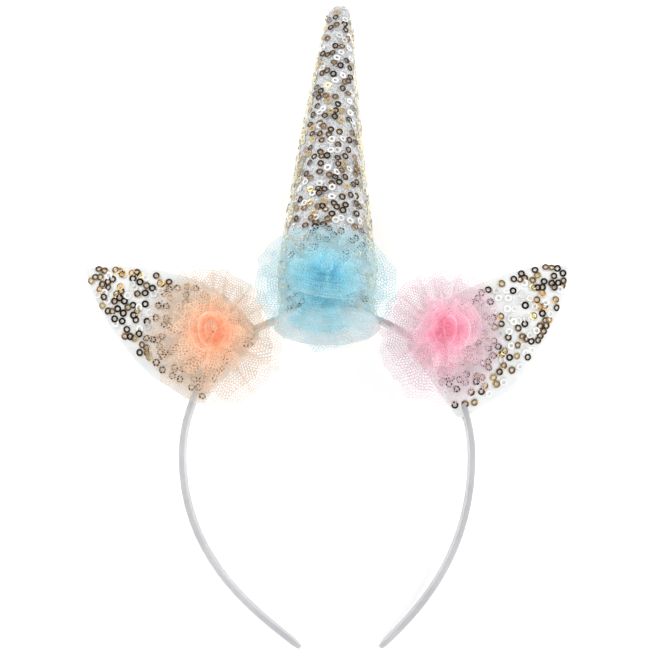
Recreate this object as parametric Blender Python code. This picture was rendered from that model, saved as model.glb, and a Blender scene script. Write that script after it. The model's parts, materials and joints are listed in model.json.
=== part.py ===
"""Unicorn horn headband, lying on its back: a satin-wrapped band with a stuffed sequin horn, two padded
ears and three tulle rosettes.

Head frame: the origin is the centre of the band's arc, +X to the right, +Y towards the horn, +Z to the
front. The whole frame is tilted about X so that the two band tips and the back of the horn rest on z = 0.
"""

import math

import bmesh
import bpy
from mathutils import Matrix, Vector

# Driving dimensions, in metres
GAP = 0.0003  # left between two pieces that touch
BAND_RADIUS = 0.0615  # outer radius of the arc over the head
BAND_THICKNESS = 0.0022
BAND_DEPTH = 0.0110  # front to back at the crown
TIP_DEPTH = 0.0072  # front to back where the tips begin to round off
TIP_ROUND = 0.0045  # length of the rounded end of each tip
LEG_DROP = 0.0792  # from the arc's centre down to the tips
BAND_EDGE = 0.5  # its chamfered edges, as a share of half its thickness
BAND_WAIST = 1.5  # above 1, it keeps its depth longer on its way down to the tips
TIP_ROUNDING = 0.8  # share of the depth that a tip loses over its rounded end
TIP_THINNING = 0.35  # share of the thickness that it loses there

HORN_LENGTH = 0.1600
HORN_RADIUS = 0.0214  # at its fullest
HORN_TIP_RADIUS = 0.0064  # where the straight taper ends and the tip rounds off
HORN_SINK = 0.0066  # how far its base lies below the top of the band
HORN_BEND = 0.0060  # sideways, at the tip
HORN_FLAT = 0.0005  # pressed flat where its back rests
HORN_TIP_TURN = 84.0  # degrees that its round tip turns through before a small flat end

FELT_RADIUS = 0.0223
FELT_THICKNESS = 0.0014

EAR_LENGTH = 0.0727
EAR_WIDTH = 0.0462
EAR_WALL = 0.0011  # fabric over the front and back of the band
EAR_TUCK = 0.0030  # how far the base reaches inside the band
EAR_CURVE = 1.25  # above 1, an ear leans more towards its tip

ROSETTE_RADIUS = 0.0280
ROSETTE_HEIGHT = 0.0150
ROSETTE_HUB = 0.0070  # radius of the gathered root
TULLE_WALL = 0.0011  # a gathered layer of net, as one wall
TULLE_CURVE = 1.5  # above 1, a layer rises more towards its rim
BLUE_RISE = 0.0086  # the blue rosette's place up the horn from its base
BLUE_SHIFT = -0.00084  # its place sideways
BLUE_NOD = 5.0  # its face turned down towards the band's arc, in degrees
PEACH_OUT = 0.00745  # the peach rosette's centre past the band
PINK_OUT = 0.00939  # the pink rosette's centre past the band

# Smoothness
BAND_ARC_STEPS = 40
BAND_LEG_STEPS = 18
TIP_STEPS = (0.0400, 0.0250, 0.0120, 0.0044, 0.0)  # places over a rounded end, as shares of the leg left
HORN_SIDES = 40
EAR_SIDES = 24
ROSETTE_SIDES = 44

# Each leg runs from the side of the arc to its tip. side: sign of x. hip and ankle: lengths of the curve's
# handles at the arc and at the tip. foot: x of the tip. All three are shares of BAND_RADIUS. toe: the tip's
# direction, in degrees below the horizontal.
LEGS = {
    "left": {"side": -1, "hip": 0.744, "ankle": 0.309, "foot": 0.178, "toe": 40.1},
    "right": {"side": 1, "hip": 0.714, "ankle": 0.287, "foot": 0.353, "toe": 43.3},
}

# The horn's sections. along: share of HORN_LENGTH. full: share of HORN_RADIUS.
HORN_FOOT = (
    {"along": 0.000, "full": 0.962},
    {"along": 0.010, "full": 0.985},
    {"along": 0.060, "full": 0.984},
)
HORN_SHOULDER = 0.170  # share of HORN_LENGTH at which the straight taper starts
HORN_NECK = 0.952  # share of HORN_LENGTH at which it ends
HORN_TAPER_STEPS = 8
HORN_TIP_STEPS = 4

# An ear's sections, from its base on the band to its tip. along: share of EAR_LENGTH. wide: share of
# EAR_WIDTH. thick: share of the thickness at the band. square: 2 is an ellipse, more is boxier.
EAR_SECTIONS = (
    {"along": 0.000, "wide": 0.737, "thick": 0.60, "square": 3.2},
    {"along": 0.014, "wide": 0.811, "thick": 0.86, "square": 3.2},
    {"along": 0.045, "wide": 0.862, "thick": 1.00, "square": 3.2},
    {"along": 0.130, "wide": 0.922, "thick": 1.00, "square": 3.0},
    {"along": 0.215, "wide": 0.963, "thick": 0.92, "square": 2.6},
    {"along": 0.330, "wide": 1.000, "thick": 0.80, "square": 2.3},
    {"along": 0.450, "wide": 0.940, "thick": 0.70, "square": 2.1},
    {"along": 0.570, "wide": 0.823, "thick": 0.60, "square": 2.0},
    {"along": 0.690, "wide": 0.675, "thick": 0.50, "square": 2.0},
    {"along": 0.800, "wide": 0.502, "thick": 0.40, "square": 2.0},
    {"along": 0.890, "wide": 0.335, "thick": 0.32, "square": 2.0},
    {"along": 0.955, "wide": 0.175, "thick": 0.25, "square": 2.0},
    {"along": 1.000, "wide": 0.055, "thick": 0.16, "square": 2.0},
)

# Where each ear sits. side: sign of x. perch: its base on the arc, in degrees above the horizontal. long:
# its length. lean and bow: how far its tip and its middle are off to the horn's side of its root's line.
# All three are shares of EAR_LENGTH.
EARS = {
    "left": {"side": -1, "perch": 41.0, "long": 0.984, "lean": -0.105, "bow": 0.018},
    "right": {"side": 1, "perch": 34.8, "long": 1.000, "lean": 0.0925, "bow": -0.008},
}

# A rosette's layers, from the back. hub: share of ROSETTE_HUB. rim: share of the rosette's radius. root and
# lift: height at the hub and at the rim, as shares of ROSETTE_HEIGHT. waves: gathers round the rim. swing:
# their height, as a share of ROSETTE_HEIGHT. scallop: how far the rim goes in and out with them.
LAYERS = (
    {"hub": 1.0, "rim": 1.00, "root": 0.05, "lift": 0.26, "waves": 11, "swing": 0.125, "scallop": 0.035},
    {"hub": 0.8, "rim": 0.66, "root": 0.32, "lift": 0.62, "waves": 8, "swing": 0.090, "scallop": 0.080},
    {"hub": 0.8, "rim": 0.37, "root": 0.58, "lift": 1.00, "waves": 5, "swing": 0.060, "scallop": 0.160},
)
LAYER_STEPS = (0.0, 0.34, 0.68, 0.97)
# A rosette's flat back and heart. back and heart: radii, as shares of ROSETTE_HUB. up: the heart's height,
# as a share of ROSETTE_HEIGHT.
CORE = {"back": 0.85, "heart": 0.45, "up": 0.80}

# reach: the back layer's radius every 30 degrees from +X round to +Y, as shares of ROSETTE_RADIUS.
# turn: where its gathers start, in degrees.
ROSETTES = {
    "peach": {"reach": (1.00, 0.93, 0.90, 0.95, 1.00, 1.02, 1.02, 1.04, 1.07, 1.10, 1.12, 1.06), "turn": 0.0},
    "blue": {"reach": (1.07, 0.98, 0.97, 0.93, 1.00, 1.04, 1.02, 1.02, 1.04, 1.00, 1.02, 1.05), "turn": 17.0},
    "pink": {"reach": (0.81, 0.86, 0.94, 0.90, 0.92, 0.97, 1.01, 1.08, 1.14, 1.14, 1.04, 0.88), "turn": 38.0},
}
# Where the two side rosettes sit. perch: degrees above the horizontal. tip: their forward face turned
# outwards, in degrees.
SIDE_ROSETTES = {
    "peach": {"ear": "left", "perch": 47.2, "out": PEACH_OUT, "tip": 4.0},
    "pink": {"ear": "right", "perch": 46.3, "out": PINK_OUT, "tip": 4.0},
}

# Colour, roughness, metallic
FINISHES = {
    "satin": ((0.83, 0.83, 0.84), 0.38, 0.0),
    "horn_fabric": ((0.66, 0.60, 0.47), 0.42, 0.25),
    "felt": ((0.80, 0.79, 0.76), 0.95, 0.0),
    "ear_fabric": ((0.84, 0.83, 0.80), 0.70, 0.0),
    "peach_tulle": ((0.97, 0.70, 0.52), 0.80, 0.0),
    "blue_tulle": ((0.42, 0.79, 0.93), 0.80, 0.0),
    "pink_tulle": ((0.95, 0.62, 0.76), 0.80, 0.0),
}

CENTRE_RADIUS = BAND_RADIUS - BAND_THICKNESS / 2
EAR_THICKNESS = BAND_DEPTH + 2 * (GAP + EAR_WALL)
HORN_BASE = BAND_RADIUS - HORN_SINK  # its height above the arc's centre


def collection(name):
    made = bpy.data.collections.new(name)
    bpy.context.scene.collection.children.link(made)
    return made


def material(name):
    color, roughness, metallic = FINISHES[name]
    made = bpy.data.materials.new(name)
    made.use_nodes = True
    shader = made.node_tree.nodes["Principled BSDF"]
    shader.inputs["Base Color"].default_value = (*color, 1.0)
    shader.inputs["Roughness"].default_value = roughness
    shader.inputs["Metallic"].default_value = metallic
    made.diffuse_color = (*color, 1.0)
    return made


def add_object(name, data, where, parent, place=None):
    made = bpy.data.objects.new(name, data)
    where.objects.link(made)
    made.parent = parent
    if place is not None:
        made.matrix_local = place
    return made


def loft(name, rings):
    """A mesh skinned over rings of equally many points, with a cap at each end."""
    builder = bmesh.new()
    rows = [[builder.verts.new(point) for point in ring] for ring in rings]
    for row, after in zip(rows, rows[1:]):
        for i in range(len(row)):
            j = (i + 1) % len(row)
            builder.faces.new((row[i], row[j], after[j], after[i]))
    builder.faces.new(rows[0])
    builder.faces.new(rows[-1])
    bmesh.ops.recalc_face_normals(builder, faces=builder.faces)
    mesh = bpy.data.meshes.new(name)
    builder.to_mesh(mesh)
    builder.free()
    return mesh


def finish(piece, finish_name, sharp=35.0):
    piece.data.materials.append(material(finish_name))
    piece.data.shade_smooth()
    piece.data.set_sharp_from_angle(angle=math.radians(sharp))


def cut(piece, cutter):
    modifier = piece.modifiers.new(cutter.name, "BOOLEAN")
    modifier.operation = "DIFFERENCE"
    modifier.solver = "EXACT"
    modifier.object = cutter


def polar(radius, degrees, side=1):
    angle = math.radians(degrees)
    return Vector((side * radius * math.cos(angle), radius * math.sin(angle), 0.0))


def blend_steps(a, b, count):
    return [a + (b - a) * i / count for i in range(count + 1)]


# Band


def leg_point(leg, t):
    """A point of the leg's centre line, from the side of the arc (t = 0) to the tip (t = 1)."""
    side = leg["side"]
    hip = Vector((side * CENTRE_RADIUS, 0.0, 0.0))
    knee = hip - Vector((0.0, leg["hip"] * BAND_RADIUS, 0.0))
    foot = Vector((side * leg["foot"] * BAND_RADIUS, -LEG_DROP, 0.0))
    toe = math.radians(leg["toe"])
    ankle = foot + Vector((side * math.cos(toe), math.sin(toe), 0.0)) * leg["ankle"] * BAND_RADIUS
    return (
        hip * (1 - t) ** 3
        + knee * (3 * (1 - t) ** 2 * t)
        + ankle * (3 * (1 - t) * t**2)
        + foot * t**3
    )


def leg_points(leg):
    """Points down the leg, closer together over the rounded end."""
    even = [i / BAND_LEG_STEPS for i in range(1, BAND_LEG_STEPS)]
    fine = [1 - left for left in TIP_STEPS]
    return [leg_point(leg, t) for t in even + fine]


def band_centre_line():
    arc = [polar(CENTRE_RADIUS, angle) for angle in blend_steps(180.0, 0.0, BAND_ARC_STEPS)]
    return leg_points(LEGS["left"])[::-1] + arc + leg_points(LEGS["right"])


def band_rings(clearance):
    """Eight-sided sections down the band. The ends are tongues that keep most of the thickness."""
    line = band_centre_line()
    reach = [0.0]
    for before, here in zip(line, line[1:]):
        reach.append(reach[-1] + (here - before).length)
    whole = reach[-1]
    rings = []
    for i, point in enumerate(line):
        ahead = (line[min(i + 1, len(line) - 1)] - line[max(i - 1, 0)]).normalized()
        outward = Vector((-ahead.y, ahead.x, 0.0))
        to_end = min(reach[i], whole - reach[i])
        low = min(1.0, max(0.0, (CENTRE_RADIUS - to_end) / CENTRE_RADIUS))
        depth = BAND_DEPTH + (TIP_DEPTH - BAND_DEPTH) * low**BAND_WAIST
        inside = max(0.0, 1 - to_end / TIP_ROUND)
        tongue = 1 - TIP_ROUNDING * (1 - math.sqrt(1 - inside**2))
        half_depth = depth / 2 * tongue + clearance
        half_thick = BAND_THICKNESS / 2 * (1 - TIP_THINNING * inside**2) + clearance
        edge = min(half_thick, half_depth) * BAND_EDGE
        corners = (
            (half_thick, half_depth - edge),
            (half_thick - edge, half_depth),
            (edge - half_thick, half_depth),
            (-half_thick, half_depth - edge),
            (-half_thick, edge - half_depth),
            (edge - half_thick, -half_depth),
            (half_thick - edge, -half_depth),
            (half_thick, edge - half_depth),
        )
        rings.append([point + outward * across + Vector((0.0, 0.0, deep)) for across, deep in corners])
    return rings


# Horn


def taper_angle():
    """The half-angle of the horn's straight taper."""
    run = HORN_LENGTH * (HORN_NECK - HORN_SHOULDER)
    return math.atan((HORN_RADIUS - HORN_TIP_RADIUS) / run)


def horn_radius(along):
    """Radius at a share of the horn's length, on its foot or its straight taper."""
    if along >= HORN_SHOULDER:
        share = (along - HORN_SHOULDER) / (HORN_NECK - HORN_SHOULDER)
        return HORN_RADIUS + (HORN_TIP_RADIUS - HORN_RADIUS) * share
    rows = list(HORN_FOOT) + [{"along": HORN_SHOULDER, "full": 1.0}]
    for low, high in zip(rows, rows[1:]):
        if along <= high["along"]:
            share = (along - low["along"]) / (high["along"] - low["along"])
            return HORN_RADIUS * (low["full"] + (high["full"] - low["full"]) * share)
    return HORN_RADIUS


def horn_rings():
    stations = [(row["along"], HORN_RADIUS * row["full"]) for row in HORN_FOOT]
    for along in blend_steps(HORN_SHOULDER, HORN_NECK, HORN_TAPER_STEPS):
        stations.append((along, horn_radius(along)))
    for i in range(1, HORN_TIP_STEPS + 1):
        turn = math.radians(HORN_TIP_TURN) * i / HORN_TIP_STEPS
        stations.append((HORN_NECK + (1 - HORN_NECK) * math.sin(turn), HORN_TIP_RADIUS * math.cos(turn)))
    rings = []
    for along, radius in stations:
        centre = Vector((HORN_BEND * along**2, HORN_LENGTH * along, 0.0))
        ring = []
        for i in range(HORN_SIDES):
            angle = 2 * math.pi * i / HORN_SIDES
            ring.append(centre + Vector((radius * math.cos(angle), 0.0, radius * math.sin(angle))))
        rings.append(ring)
    return rings


# Ears


def ear_rings(ear):
    root = CENTRE_RADIUS - BAND_THICKNESS / 2 - GAP - EAR_TUCK
    out = polar(1.0, ear["perch"], ear["side"])
    up = Vector((-out.y * ear["side"], out.x * ear["side"], 0.0))
    rings = []
    for row in EAR_SECTIONS:
        along = row["along"]
        half_wide = row["wide"] * EAR_WIDTH / 2
        half_thick = row["thick"] * EAR_THICKNESS / 2
        shift = (ear["lean"] * along**EAR_CURVE + ear["bow"] * math.sin(math.pi * along)) * EAR_LENGTH
        ring = []
        for i in range(EAR_SIDES):
            angle = 2 * math.pi * (i + 0.5) / EAR_SIDES
            power = 2 / row["square"]
            across = math.copysign(abs(math.cos(angle)) ** power, math.cos(angle)) * half_wide
            deep = math.copysign(abs(math.sin(angle)) ** power, math.sin(angle)) * half_thick
            hollow = (root - math.sqrt(root**2 - across**2)) * (1 - along) ** 2
            ring.append(
                out * (root + ear["long"] * EAR_LENGTH * along - hollow)
                + up * (shift + across)
                + Vector((0.0, 0.0, deep))
            )
        rings.append(ring)
    return rings


# Rosettes


def reach_at(reach, degrees):
    """The outline's share at an angle, smoothed between the entries of the table."""
    place = (degrees % 360.0) / 360.0 * len(reach)
    i = int(place)
    share = (1 - math.cos(math.pi * (place - i))) / 2
    return reach[i % len(reach)] * (1 - share) + reach[(i + 1) % len(reach)] * share


def circle(radius, height):
    up = Vector((0.0, 0.0, height))
    return [polar(radius, 360.0 * i / ROSETTE_SIDES) + up for i in range(ROSETTE_SIDES)]


def rosette_profile():
    """(layer, share from hub to rim, side of the wall) for each ring, from the back to the front."""
    rows = []
    for layer in LAYERS:
        rows += [(layer, share, -0.5) for share in LAYER_STEPS]
        rows.append((layer, 1.0, 0.0))
        rows += [(layer, share, 0.5) for share in LAYER_STEPS[:0:-1]]
    return rows


def rosette_rings(rosette):
    rings = [circle(ROSETTE_HUB * CORE["back"], 0.0)]
    for layer, share, wall in rosette_profile():
        ring = []
        for i in range(ROSETTE_SIDES):
            degrees = 360.0 * i / ROSETTE_SIDES
            outline = reach_at(rosette["reach"], degrees) if layer is LAYERS[0] else 1.0
            wave = math.sin(math.radians(layer["waves"] * degrees + rosette["turn"] * layer["waves"]))
            rim = ROSETTE_RADIUS * layer["rim"] * outline * (1 + layer["scallop"] * wave)
            hub = ROSETTE_HUB * layer["hub"]
            rise = layer["root"] + (layer["lift"] - layer["root"]) * share**TULLE_CURVE
            height = ROSETTE_HEIGHT * (rise + layer["swing"] * wave * share**2) + TULLE_WALL * wall
            around = polar(hub + (rim - hub) * share, degrees)
            ring.append(around + Vector((0.0, 0.0, height + TULLE_WALL / 2)))
        rings.append(ring)
    heart = ROSETTE_HEIGHT * CORE["up"] + TULLE_WALL
    rings.append(circle(ROSETTE_HUB * CORE["heart"], heart))
    return rings


# Placement


def rest_tilt():
    """How far the head frame tips up about X, with the band's tips and the horn's back both on the table."""
    slope = taper_angle()
    shoulder = HORN_RADIUS * math.cos(slope) - HORN_FLAT
    base_height = shoulder + HORN_LENGTH * HORN_SHOULDER * math.sin(slope)
    run = HORN_BASE + LEG_DROP
    rise = TIP_DEPTH / 2
    return math.asin(base_height / math.hypot(run, rise)) - math.atan2(rise, run)


def head_frame(where):
    tilt = rest_tilt()
    lift = LEG_DROP * math.sin(tilt) + TIP_DEPTH / 2 * math.cos(tilt)
    head = add_object("head_frame", None, where, None)
    head.matrix_world = Matrix.Translation((0.0, 0.0, lift)) @ Matrix.Rotation(tilt, 4, "X")
    return head


def centre_on_origin(head, pieces):
    """Moves the frame along the table until the pieces' outline is centred on the origin."""
    bpy.context.view_layer.update()
    graph = bpy.context.evaluated_depsgraph_get()
    points = []
    for piece in pieces:
        shown = piece.evaluated_get(graph)
        points += [shown.matrix_world @ vertex.co for vertex in shown.data.vertices]
    for axis in (0, 1):
        values = [point[axis] for point in points]
        head.location[axis] -= (min(values) + max(values)) / 2


def main():
    for old in list(bpy.data.objects):
        bpy.data.objects.remove(old)
    parts = collection("unicorn_horn_headband")
    cutters = collection("cutters")
    cutters.hide_render = True
    head = head_frame(parts)

    channel = add_object("band_channel", loft("band_channel", band_rings(GAP)), cutters, head)
    table = add_object("table_cut", bpy.data.meshes.new("table_cut"), cutters, None)
    box = bmesh.new()
    size = 2 * HORN_LENGTH
    bmesh.ops.create_cube(box, size=1.0, matrix=Matrix.Diagonal((size, 2 * size, size, 1.0)))
    bmesh.ops.translate(box, verts=box.verts, vec=(0.0, 0.0, -size / 2))
    box.to_mesh(table.data)
    box.free()
    for cutter in (channel, table):
        cutter.hide_render = True
        cutter.display_type = "WIRE"

    band = add_object("band", loft("band", band_rings(0.0)), parts, head)
    finish(band, "satin")

    seat = add_object("horn_seat", None, parts, head)
    back = rest_tilt() + taper_angle()
    seat.matrix_local = Matrix.Translation((0.0, HORN_BASE, 0.0)) @ Matrix.Rotation(-back, 4, "X")

    horn = add_object("horn", loft("horn", horn_rings()), parts, seat)
    finish(horn, "horn_fabric")
    cut(horn, channel)
    cut(horn, table)

    disc = bmesh.new()
    bmesh.ops.create_cone(
        disc,
        cap_ends=True,
        segments=HORN_SIDES,
        radius1=FELT_RADIUS,
        radius2=FELT_RADIUS,
        depth=FELT_THICKNESS,
    )
    felt_mesh = bpy.data.meshes.new("horn_base_felt")
    disc.to_mesh(felt_mesh)
    disc.free()
    beneath = Matrix.Translation((0.0, -GAP - FELT_THICKNESS / 2, 0.0))
    felt_place = beneath @ Matrix.Rotation(math.pi / 2, 4, "X")
    felt = add_object("horn_base_felt", felt_mesh, parts, seat, felt_place)
    finish(felt, "felt")
    cut(felt, channel)

    pieces = [band, horn, felt]
    for name, ear in EARS.items():
        made = add_object(f"{name}_ear", loft(f"{name}_ear", ear_rings(ear)), parts, head)
        finish(made, "ear_fabric", 50.0)
        cut(made, channel)
        pieces.append(made)

    for name, rosette in ROSETTES.items():
        mesh = loft(f"{name}_rosette", rosette_rings(rosette))
        if name in SIDE_ROSETTES:
            spot = SIDE_ROSETTES[name]
            side = EARS[spot["ear"]]["side"]
            where = polar(BAND_RADIUS + spot["out"], spot["perch"], side)
            where.z = EAR_THICKNESS / 2 + GAP
            turn = Matrix.Rotation(math.radians(spot["tip"]) * side, 4, "Y")
            holder = head
        else:
            nod = math.radians(BLUE_NOD)
            under = horn_radius(BLUE_RISE / HORN_LENGTH) + GAP + ROSETTE_HUB * math.sin(nod)
            where = Vector((BLUE_SHIFT, BLUE_RISE, under))
            turn = Matrix.Rotation(-nod, 4, "X")
            holder = seat
        made = add_object(f"{name}_rosette", mesh, parts, holder, Matrix.Translation(where) @ turn)
        finish(made, f"{name}_tulle", 60.0)
        pieces.append(made)

    centre_on_origin(head, pieces)


main()
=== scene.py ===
"""Unicorn horn headband: satin-wrapped band, stuffed sequin horn, padded sequin ears and tulle rosettes."""
import json
import math

import bpy
import numpy as np
from mathutils import Matrix, Vector


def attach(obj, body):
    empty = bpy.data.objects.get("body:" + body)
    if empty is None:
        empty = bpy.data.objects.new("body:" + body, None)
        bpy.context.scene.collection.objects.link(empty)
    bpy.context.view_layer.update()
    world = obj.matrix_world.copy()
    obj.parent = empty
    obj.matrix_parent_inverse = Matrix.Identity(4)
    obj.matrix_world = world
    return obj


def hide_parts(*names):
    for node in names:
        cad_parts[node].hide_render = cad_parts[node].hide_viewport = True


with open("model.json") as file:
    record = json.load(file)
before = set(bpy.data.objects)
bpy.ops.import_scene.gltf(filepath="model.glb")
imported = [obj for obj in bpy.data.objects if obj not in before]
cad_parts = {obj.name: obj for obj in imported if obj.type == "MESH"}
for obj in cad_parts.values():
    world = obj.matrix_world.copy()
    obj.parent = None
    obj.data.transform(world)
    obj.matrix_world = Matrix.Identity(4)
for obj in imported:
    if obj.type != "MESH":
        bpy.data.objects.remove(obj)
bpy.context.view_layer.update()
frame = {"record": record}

# Sizes in metres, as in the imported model
GAP = 0.0003
SEQUIN_ROOM = 0.0007  # depth of the cloth below the solids' surface, which the sequins take up
BAND_RADIUS = 0.0615
BAND_THICKNESS = 0.0022
BAND_DEPTH = 0.0110
TIP_DEPTH = 0.0072
LEG_DROP = 0.0792
HORN_LENGTH = 0.1600
HORN_RADIUS = 0.0214
HORN_SINK = 0.0066
HORN_BEND = 0.0060
FELT_THICKNESS = 0.0014
EAR_LENGTH = 0.0727
EAR_WIDTH = 0.0462
EAR_WALL = 0.0011
EAR_TUCK = 0.0030
ROSETTE_RADIUS = 0.0280
ROSETTE_HEIGHT = 0.0150
ROSETTE_HUB = 0.0070
BLUE_RISE = 0.0086
BLUE_SHIFT = -0.030
BLUE_NOD = 5.0

HORN_PROFILE = np.array((  # share of the length, share of the radius
    (0.000, 0.962), (0.010, 0.985), (0.060, 0.984), (0.170, 1.000), (0.952, 0.299),
    (0.970, 0.277), (0.986, 0.211), (0.996, 0.115), (1.000, 0.031),
))
EAR_PROFILE = np.array((  # share of the length, of the half width, of the half thickness, squareness
    (0.000, 0.737, 0.60, 3.2), (0.014, 0.811, 0.86, 3.2), (0.045, 0.862, 1.00, 3.2),
    (0.130, 0.922, 1.00, 3.0), (0.215, 0.963, 0.92, 2.6), (0.330, 1.000, 0.80, 2.3),
    (0.450, 0.940, 0.70, 2.1), (0.570, 0.823, 0.60, 2.0), (0.690, 0.675, 0.50, 2.0),
    (0.800, 0.502, 0.40, 2.0), (0.890, 0.335, 0.32, 2.0), (0.955, 0.175, 0.25, 2.0),
    (1.000, 0.055, 0.16, 2.0),
))
EARS = {  # side, perch in degrees, length, lean and bow as shares of EAR_LENGTH
    "left": (-1, 41.0, 0.984, -0.105, 0.018),
    "right": (1, 34.8, 1.000, 0.0925, -0.008),
}
REACH = {  # each rosette's outline every 30 degrees, as shares of its radius
    "peach": (1.07, 0.95, 0.90, 0.95, 1.00, 1.02, 1.02, 1.04, 1.07, 1.10, 1.12, 1.10),
    "blue": (1.07, 0.98, 0.97, 0.93, 1.00, 1.04, 1.02, 1.04, 1.08, 1.11, 1.08, 1.06),
    "pink": (0.81, 0.86, 0.94, 0.90, 0.92, 0.97, 1.01, 1.08, 1.14, 1.14, 1.04, 0.88),
}

HORN_BASE = BAND_RADIUS - HORN_SINK
EAR_THICKNESS = BAND_DEPTH + 2 * (GAP + EAR_WALL)
EAR_ROOT = BAND_RADIUS - BAND_THICKNESS - GAP - EAR_TUCK

# Camera
PHOTO_PIXELS = 656
PIXEL = 0.000422  # size of a photograph's pixel at the band
CAMERA_DISTANCE = 0.520
CAMERA_BELOW = 5.0  # degrees that the camera looks up at the arc from below its plane's normal
TARGET = (0.0004, 0.0531, 0.0)  # the middle of the photograph, in the head frame

# Light and floor
LIGHTS = (  # name, place, diameter, power
    ("key", (-0.60, 0.55, 0.80), 0.60, 5.2),
    ("fill", (0.75, 0.20, 0.75), 0.60, 4.0),
    ("front", (0.05, -0.85, 0.65), 0.60, 3.6),
)
SKY = (  # share of the way up, colour
    (0.00, (1.00, 1.00, 1.00)),
    (0.62, (0.85, 0.85, 0.87)),
    (0.90, (0.07, 0.07, 0.07)),
)
SKY_STRENGTH = 0.95
FLOOR_HALF = 3.0  # half the side of the floor
FLOOR_GLOW = 0.25

rng = np.random.default_rng(11)


# Frames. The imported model's mount on the felt gives the horn's seat, and the seat gives the head frame.

felt_mount = next(m for m in frame["record"]["mounts"] if m["name"] == "horn_base")
horn_axis = -Vector(felt_mount["axis"]).normalized()
seat_origin = Vector(felt_mount["pos_m"]) + horn_axis * (GAP + FELT_THICKNESS)
horn_slope = math.atan2(-horn_axis.z, horn_axis.y)
SEAT = Matrix.Translation(seat_origin) @ Matrix.Rotation(-horn_slope, 4, "X")
run, rise = HORN_BASE + LEG_DROP, TIP_DEPTH / 2
head_tilt = math.asin(seat_origin.z / math.hypot(run, rise)) - math.atan2(rise, run)
HEAD = (
    Matrix.Translation(seat_origin)
    @ Matrix.Rotation(head_tilt, 4, "X")
    @ Matrix.Translation((0.0, -HORN_BASE, 0.0))
)


def in_frame(matrix, points):
    """Points of a frame, as an (n, 3) array, in the world."""
    m = np.array(matrix)
    return points @ m[:3, :3].T + m[:3, 3]


# Camera, light and floor


def add_camera():
    data = bpy.data.cameras.new("photo_camera")
    data.sensor_width = 36.0
    data.lens = data.sensor_width * CAMERA_DISTANCE / (PHOTO_PIXELS * PIXEL)
    camera = bpy.data.objects.new("photo_camera", data)
    bpy.context.scene.collection.objects.link(camera)
    camera.matrix_world = (
        HEAD
        @ Matrix.Translation(TARGET)
        @ Matrix.Rotation(math.radians(CAMERA_BELOW), 4, "X")
        @ Matrix.Translation((0.0, 0.0, CAMERA_DISTANCE))
    )
    bpy.context.scene.camera = camera


def add_area(name, spot, size, power):
    data = bpy.data.lights.new(name, "AREA")
    data.shape = "DISK"
    data.size = size
    data.energy = power
    lamp = bpy.data.objects.new(name, data)
    bpy.context.scene.collection.objects.link(lamp)
    lamp.location = spot
    lamp.rotation_euler = (-Vector(spot)).to_track_quat("-Z", "Y").to_euler()


def set_stops(color_ramp, stops):
    elements = color_ramp.elements
    while len(elements) < len(stops):
        elements.new(0.5)
    for element, (place, color) in zip(elements, stops):
        element.position = place
        element.color = (*color, 1.0)


def add_studio():
    scene = bpy.context.scene
    scene.view_settings.view_transform = "Standard"
    scene.cycles.transparent_max_bounces = 48
    world = bpy.data.worlds.new("studio")
    scene.world = world
    world.use_nodes = True
    nodes, links = world.node_tree.nodes, world.node_tree.links
    direction = nodes.new("ShaderNodeTexCoord")
    split = nodes.new("ShaderNodeSeparateXYZ")
    ramp = nodes.new("ShaderNodeValToRGB")
    links.new(direction.outputs["Generated"], split.inputs[0])
    links.new(split.outputs["Z"], ramp.inputs["Fac"])
    links.new(ramp.outputs["Color"], nodes["Background"].inputs["Color"])
    set_stops(ramp.color_ramp, SKY)
    nodes["Background"].inputs["Strength"].default_value = SKY_STRENGTH
    for light in LIGHTS:
        add_area(*light)

    size = FLOOR_HALF
    mesh = bpy.data.meshes.new("floor")
    corners = [(-size, -size, 0), (size, -size, 0), (size, size, 0), (-size, size, 0)]
    mesh.from_pydata(corners, [], [(0, 1, 2, 3)])
    floor = bpy.data.objects.new("floor", mesh)
    bpy.context.scene.collection.objects.link(floor)
    paint = bpy.data.materials.new("floor_paper")
    paint.use_nodes = True
    shader = paint.node_tree.nodes["Principled BSDF"]
    shader.inputs["Base Color"].default_value = (0.96, 0.96, 0.96, 1.0)
    shader.inputs["Roughness"].default_value = 0.95
    shader.inputs["Specular IOR Level"].default_value = 0.0
    shader.inputs["Emission Color"].default_value = (1.0, 1.0, 1.0, 1.0)
    shader.inputs["Emission Strength"].default_value = FLOOR_GLOW
    mesh.materials.append(paint)


# Material helpers


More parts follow.
